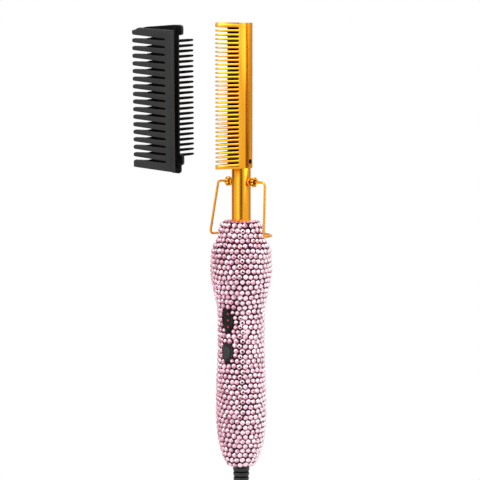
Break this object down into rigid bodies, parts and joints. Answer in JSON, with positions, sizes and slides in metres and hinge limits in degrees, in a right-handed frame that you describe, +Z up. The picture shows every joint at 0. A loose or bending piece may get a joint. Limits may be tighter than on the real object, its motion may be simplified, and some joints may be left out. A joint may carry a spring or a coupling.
{
  "type": "electric hot comb",
  "caption": "Electric hot comb with a heated gold blade, hinged wire stand, crystal-covered handle, swivel cord with a plug, and a clip-on comb cover lying beside the blade.",
  "frame": {"origin": "middle of the hand grip, on the handle's axis", "axes": "+Z runs up the handle to the blade's tip, -X is the side of the blade's teeth, the window and the button, +Y completes the frame"},
  "size_m": [0.0655, 0.0864, 0.574],
  "materials": {
    "gold": "satin gold plate",
    "steel": "dark steel",
    "brass": "plain",
    "ceramic": "matte",
    "lead_sleeve": "matte sleeve",
    "pink_shell": "gloss",
    "crystal": "cut crystal",
    "board": "matte",
    "black_plastic": "satin",
    "smoked_window": "polished",
    "red_light": "lit",
    "cord_rubber": "matte",
    "cover_plastic": "satin"
  },
  "bodies": {
    "handle": {"comb_blade": "gold", "blade_set_screw": "steel", "heater_core": "ceramic", "temperature_sensor": "ceramic", "heater_leads": "lead_sleeve", "neck_tube": "gold", "pivot_stud_left": "gold", "pivot_stud_right": "gold", "tube_bush": "ceramic", "handle_shell_front": "pink_shell", "handle_shell_back": "pink_shell", "crystal_front": "crystal", "crystal_back": "crystal", "crystal_rim": "crystal", "shell_screws": "steel", "circuit_board": "board", "button_switch": "black_plastic", "button_bezel": "black_plastic", "indicator_window": "smoked_window", "indicator_lights": "red_light", "supply_leads": "lead_sleeve", "swivel_socket": "black_plastic"},
    "stand": {"stand_wire": "gold"},
    "button": {"power_button": "black_plastic"},
    "cord": {"cord_swivel": "black_plastic", "strain_relief": "cord_rubber", "power_cord": "cord_rubber", "cord_hank": "cord_rubber", "hank_tie": "black_plastic", "cord_end": "cord_rubber", "plug_body": "cord_rubber", "plug_blades": "brass"},
    "cover": {"cover_wide_comb": "cover_plastic", "cover_fine_comb": "cover_plastic", "cover_clip_top": "cover_plastic", "cover_clip_bottom": "cover_plastic"}
  },
  "joints": [
    {"name": "stand_swing", "type": "hinge", "parent": "handle", "child": "stand", "pos_m": [0, 0, 0.1066], "axis": [0, -1, 0], "range_deg": [0, 100]},
    {"name": "button_press", "type": "slide", "parent": "handle", "child": "button", "axis": [1, 0, 0], "range_m": [0, 0.0007], "stiffness_N_per_m": 900},
    {"name": "cord_turn", "type": "hinge", "parent": "handle", "child": "cord", "pos_m": [0, 0, -0.0806], "axis": [0, 0, 1], "continuous": true},
    {"name": "cover_lift_off", "type": "slide", "parent": "handle", "child": "cover", "axis": [-0.6159, 0.7878, 0], "range_m": [0, 0.06]}
  ]
}
